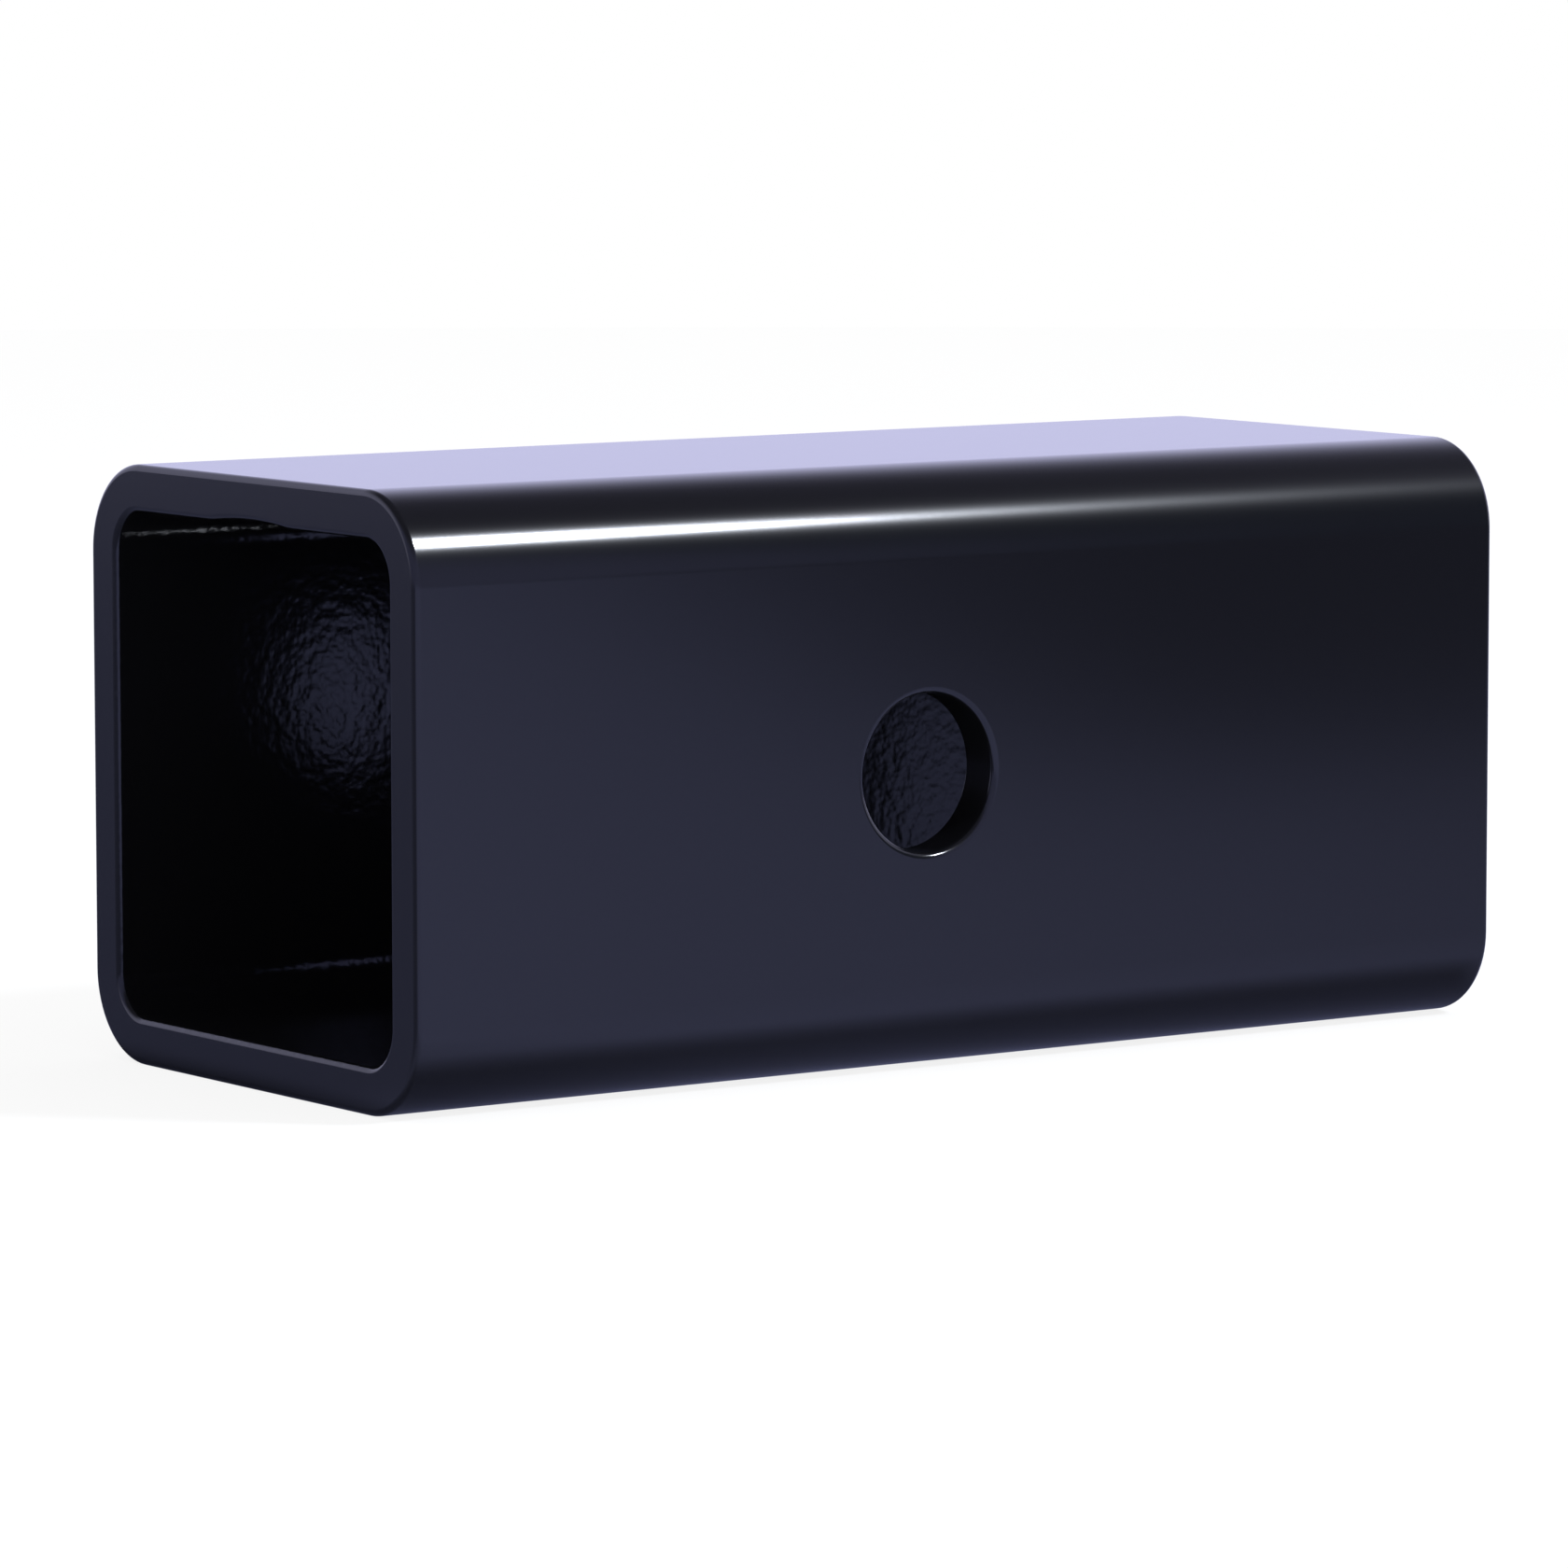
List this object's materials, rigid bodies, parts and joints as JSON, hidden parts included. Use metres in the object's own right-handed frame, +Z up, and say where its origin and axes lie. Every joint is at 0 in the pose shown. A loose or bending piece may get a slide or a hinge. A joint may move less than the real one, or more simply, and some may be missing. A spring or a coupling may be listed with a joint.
{
  "type": "hitch reducer sleeve",
  "caption": "Gloss black square tube sleeve for a tow bar receiver, open at its ends, with round long corners and a pin hole drilled across through its side walls.",
  "frame": {"origin": "under the middle of the tube, on the flat face that it rests on", "axes": "+X along the tube, away from the open end nearest the camera; +Y across the tube along the pin hole, away from the camera; +Z up"},
  "size_m": [0.1396, 0.0636, 0.0635],
  "materials": {
    "black_coat": "gloss black powder coat over steel, smooth outside, with an orange-peel texture inside"
  },
  "bodies": {
    "root": {"sleeve": "black_coat"}
  },
  "joints": []
}
